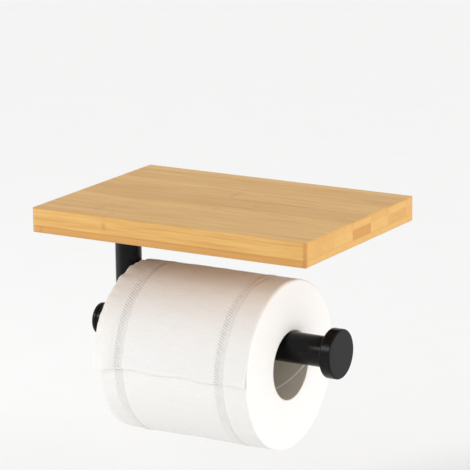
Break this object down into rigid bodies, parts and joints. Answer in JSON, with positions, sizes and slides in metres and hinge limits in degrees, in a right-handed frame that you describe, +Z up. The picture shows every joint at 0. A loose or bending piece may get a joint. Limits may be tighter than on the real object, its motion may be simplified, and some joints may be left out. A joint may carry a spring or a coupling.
{
  "type": "toilet paper holder",
  "caption": "Wall-mounted toilet paper holder with a bamboo shelf, a round post hanging from it and a capped open roll bar that carries a paper roll.",
  "frame": {"origin": "midpoint between the two wall screw holes, on the wall plane", "axes": "+Y points into the wall, +X runs along the shelf towards the roll bar's open end, +Z is up"},
  "size_m": [0.18, 0.127, 0.1406],
  "materials": {
    "bamboo": "clear matt lacquer over planed, edge-glued strips",
    "black_powder_coat": "fine matt powder coat",
    "zinc_plated_steel": "bright zinc",
    "core_cardboard": "spiral-wound grey board",
    "tissue_paper": "soft embossed tissue"
  },
  "bodies": {
    "holder": {"shelf_board": "bamboo", "wall_bracket": "black_powder_coat", "board_screws": "zinc_plated_steel", "post_tube": "black_powder_coat", "post_top_plug": "zinc_plated_steel", "post_screw": "zinc_plated_steel", "post_bottom_plug": "zinc_plated_steel", "roll_bar": "black_powder_coat", "saddle_washer": "zinc_plated_steel", "bar_screw": "zinc_plated_steel", "access_plug": "black_powder_coat", "bar_plug_left": "zinc_plated_steel", "bar_plug_right": "zinc_plated_steel", "end_cap_left": "black_powder_coat", "end_cap_right": "black_powder_coat"},
    "roll": {"cardboard_core": "core_cardboard", "paper_roll": "tissue_paper"}
  },
  "joints": [
    {"name": "roll_spin", "type": "hinge", "parent": "holder", "child": "roll", "pos_m": [-0.00515, -0.066, -0.0656], "axis": [1, 0, 0], "continuous": true}
  ]
}
